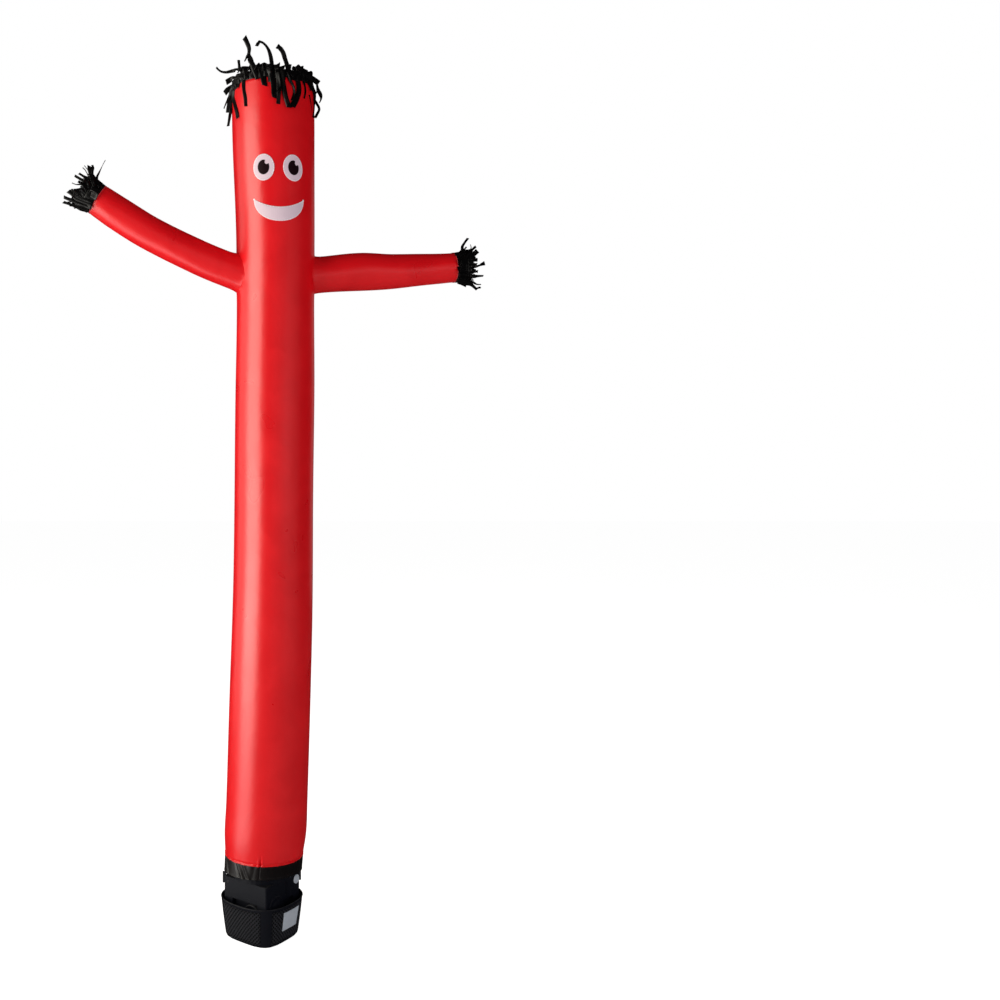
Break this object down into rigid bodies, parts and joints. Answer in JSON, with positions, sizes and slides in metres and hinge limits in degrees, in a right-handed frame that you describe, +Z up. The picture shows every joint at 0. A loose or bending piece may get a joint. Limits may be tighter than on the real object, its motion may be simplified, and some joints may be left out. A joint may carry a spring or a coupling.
{
  "type": "inflatable air dancer and blower",
  "caption": "Upright air-filled nylon tube with a sewn smiling face, open arms and ribbon fringes, its black cuff drawn over a low square blower.",
  "frame": {"origin": "centre of the flat underside of the blower's base", "axes": "+Z up along the tube, -Y to the front, where the face looks, +X to the right of somebody looking at the face"},
  "size_m": [1.6148, 0.4378, 3.3559],
  "materials": {
    "red_nylon": "ripstop nylon with a satin shine",
    "black_nylon": "smooth nylon with a satin shine",
    "white_cloth": "matt sewn cloth, thin enough to pick up the red behind it",
    "black_cloth": "matt sewn cloth",
    "black_plastic": "finely grained moulding",
    "grey_plastic": "finely grained moulding, pierced by small holes on the grilles",
    "silver_plastic": "blank silver film"
  },
  "bodies": {
    "root": {"tube": "red_nylon", "arm_left": "red_nylon", "arm_right": "red_nylon", "foot_cuff": "black_nylon", "hair_fringe": "black_nylon", "hand_fringe_left": "black_nylon", "hand_fringe_right": "black_nylon", "eye_left": "white_cloth", "eye_right": "white_cloth", "mouth": "white_cloth", "pupil_left": "black_cloth", "pupil_right": "black_cloth", "blower_base": "black_plastic", "blower_housing": "black_plastic", "fan_collar": "black_plastic", "outlet_ring": "black_plastic", "grille_front_right": "grey_plastic", "grille_back_right": "grey_plastic", "grille_back_left": "grey_plastic", "grille_front_left": "grey_plastic", "latch_left": "grey_plastic", "latch_right": "grey_plastic", "cord_gland": "grey_plastic", "blank_plate": "silver_plastic", "badge_disc": "silver_plastic"}
  },
  "joints": []
}
